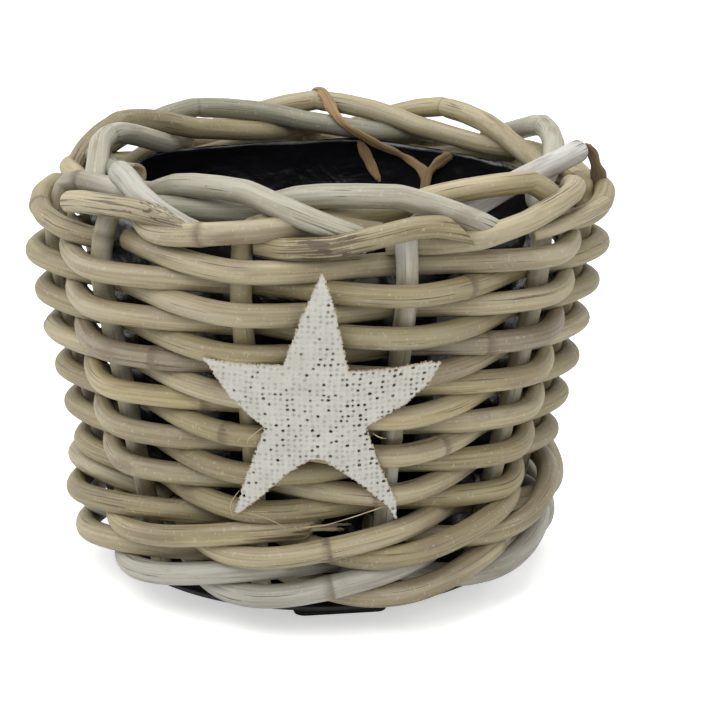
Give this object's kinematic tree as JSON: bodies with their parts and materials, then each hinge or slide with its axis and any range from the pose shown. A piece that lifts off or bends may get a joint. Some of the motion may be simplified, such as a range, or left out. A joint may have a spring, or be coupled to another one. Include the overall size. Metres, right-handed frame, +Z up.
{
  "type": "rattan planter",
  "caption": "Round flared basket planter woven from grey-washed rattan rods, with a twisted rod border, a dark film liner and a cloth star on the front.",
  "frame": {"origin": "on the floor, below the middle of the base", "axes": "+Z up, -Y towards the star on the front, +X to the right seen from the front"},
  "size_m": [0.2147, 0.2172, 0.1656],
  "materials": {
    "rattan": "matt grey wash",
    "base_board": "black stain",
    "foot_pad": "matt",
    "film": "semi-gloss film",
    "raffia": "dry fibre",
    "burlap": "painted open weave"
  },
  "bodies": {
    "root": {"foot_pad_01": "foot_pad", "foot_pad_02": "foot_pad", "foot_pad_03": "foot_pad", "base_board": "base_board", "stake_01": "rattan", "stake_02": "rattan", "stake_03": "rattan", "stake_04": "rattan", "stake_05": "rattan", "stake_06": "rattan", "stake_07": "rattan", "stake_08": "rattan", "stake_09": "rattan", "stake_10": "rattan", "stake_11": "rattan", "foot_wale_01": "rattan", "foot_wale_02": "rattan", "foot_wale_03": "rattan", "upper_wale_01": "rattan", "upper_wale_02": "rattan", "upper_wale_03": "rattan", "weaver_01": "rattan", "weaver_02": "rattan", "weaver_03": "rattan", "weaver_04": "rattan", "weaver_05": "rattan", "weaver_06": "rattan", "weaver_07": "rattan", "weaver_08": "rattan", "weaver_09": "rattan", "weaver_10": "rattan", "weaver_11": "rattan", "weaver_12": "rattan", "top_rod_01": "rattan", "top_rod_02": "rattan", "border_splice": "rattan", "liner": "film", "raffia_tie_01": "raffia", "raffia_tie_02": "raffia", "raffia_tie_03": "raffia", "star_patch": "burlap"}
  },
  "joints": []
}
